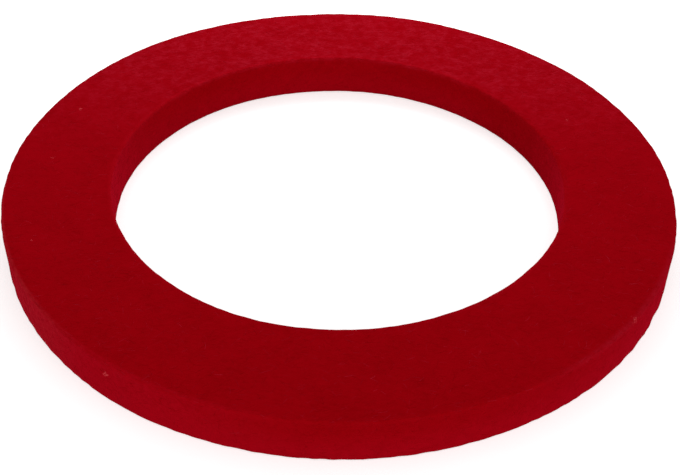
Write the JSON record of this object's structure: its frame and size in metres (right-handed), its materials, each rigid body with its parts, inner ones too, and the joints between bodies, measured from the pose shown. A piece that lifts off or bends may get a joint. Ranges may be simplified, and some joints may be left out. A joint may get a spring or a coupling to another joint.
{
  "type": "felt seal",
  "caption": "Flat ring of pressed red wool felt with a plain round bore and softly rounded die-cut edges; it wipes a turning shaft to hold grease in and keep dust out.",
  "frame": {"origin": "centre of the ring's lower face, on the bore axis", "axes": "+Z along the bore axis, from the lower face to the upper face; the ring is the same all round, so +X and +Y are any two radii at right angles"},
  "size_m": [0.088, 0.088, 0.006],
  "materials": {
    "felt": "matte pressed wool felt, red, with a short fibre nap"
  },
  "bodies": {
    "root": {"felt_ring": "felt"}
  },
  "joints": []
}
